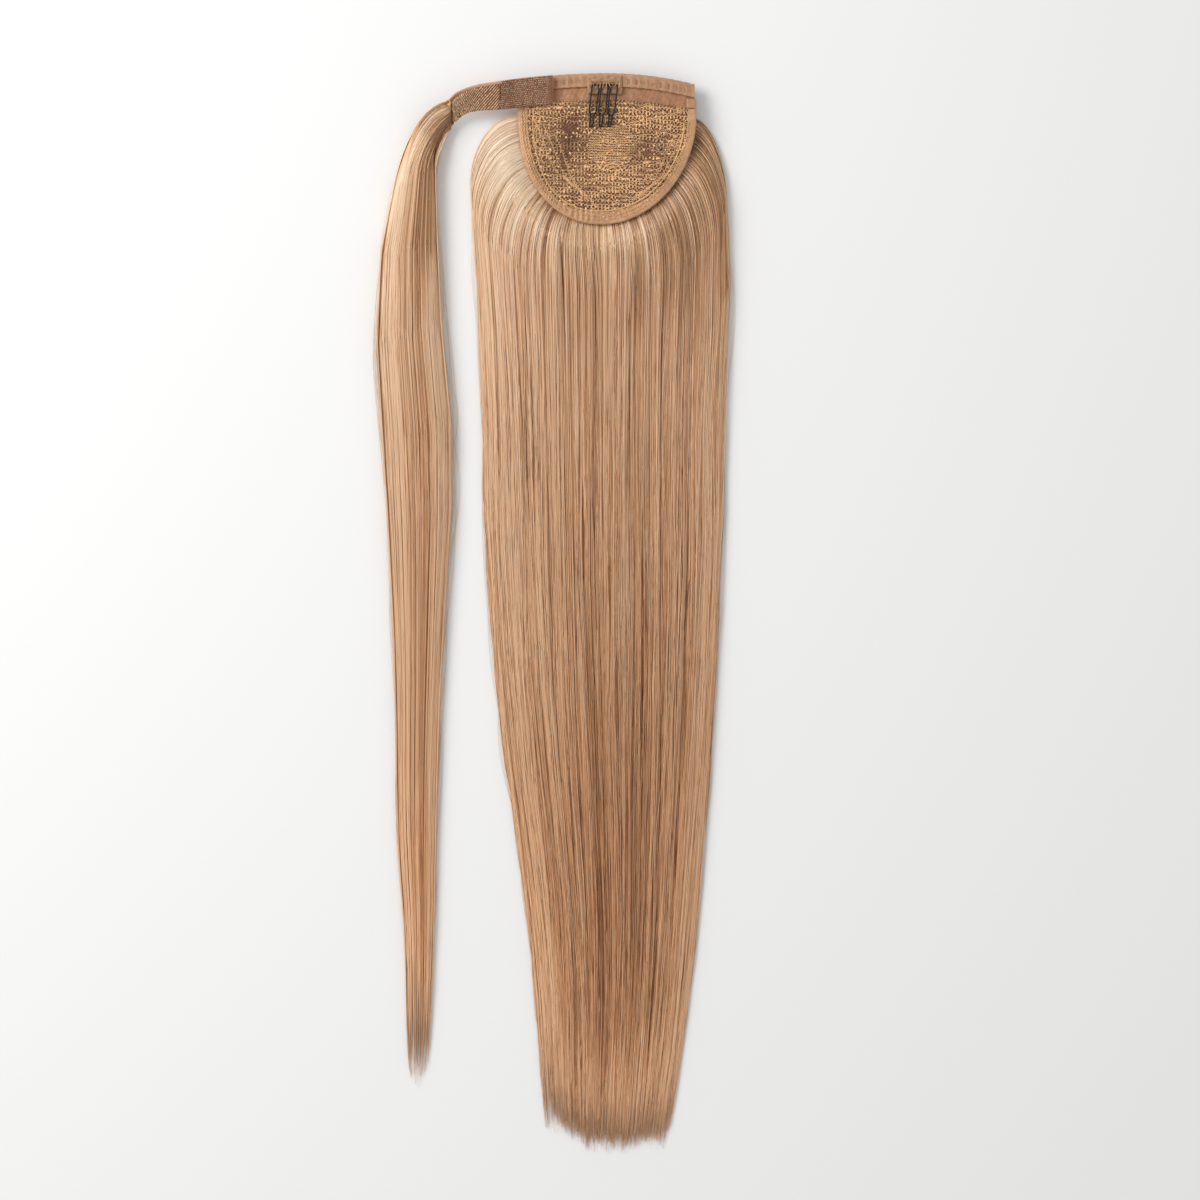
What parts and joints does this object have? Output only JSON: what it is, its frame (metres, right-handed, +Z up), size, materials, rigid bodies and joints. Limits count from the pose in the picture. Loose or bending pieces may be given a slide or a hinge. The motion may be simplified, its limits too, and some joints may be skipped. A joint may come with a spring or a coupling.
{
  "type": "ponytail hairpiece",
  "caption": "Long straight ponytail hairpiece on a lace base with a wire comb, satin band and a hook-and-loop strap that leads to a slim wrap tress.",
  "frame": {"origin": "on the table, under the middle of the whole piece", "axes": "+X across the base towards the end without the strap, +Y from the hair's tips to the band, +Z up from the table, out of the base's lining side"},
  "size_m": [0.2006, 0.5992, 0.016],
  "materials": {
    "hair": "glossy straight dark blond hair",
    "lace": "matte embroidered lace",
    "satin": "soft satin ribbon",
    "loop_tape": "brushed loop tape",
    "hook_tape": "stiff hook tape",
    "wire": "black lacquered wire"
  },
  "bodies": {
    "root": {"ponytail_hair": "hair", "wrap_hair": "hair", "lace_panel": "lace", "rim_binding": "satin", "satin_band": "satin", "top_hem": "satin", "side_hem": "satin", "comb_tab": "satin", "wire_comb": "wire", "strap_ribbon": "satin", "strap_tape": "loop_tape", "hook_patch": "hook_tape", "tress_weft": "satin"}
  },
  "joints": []
}
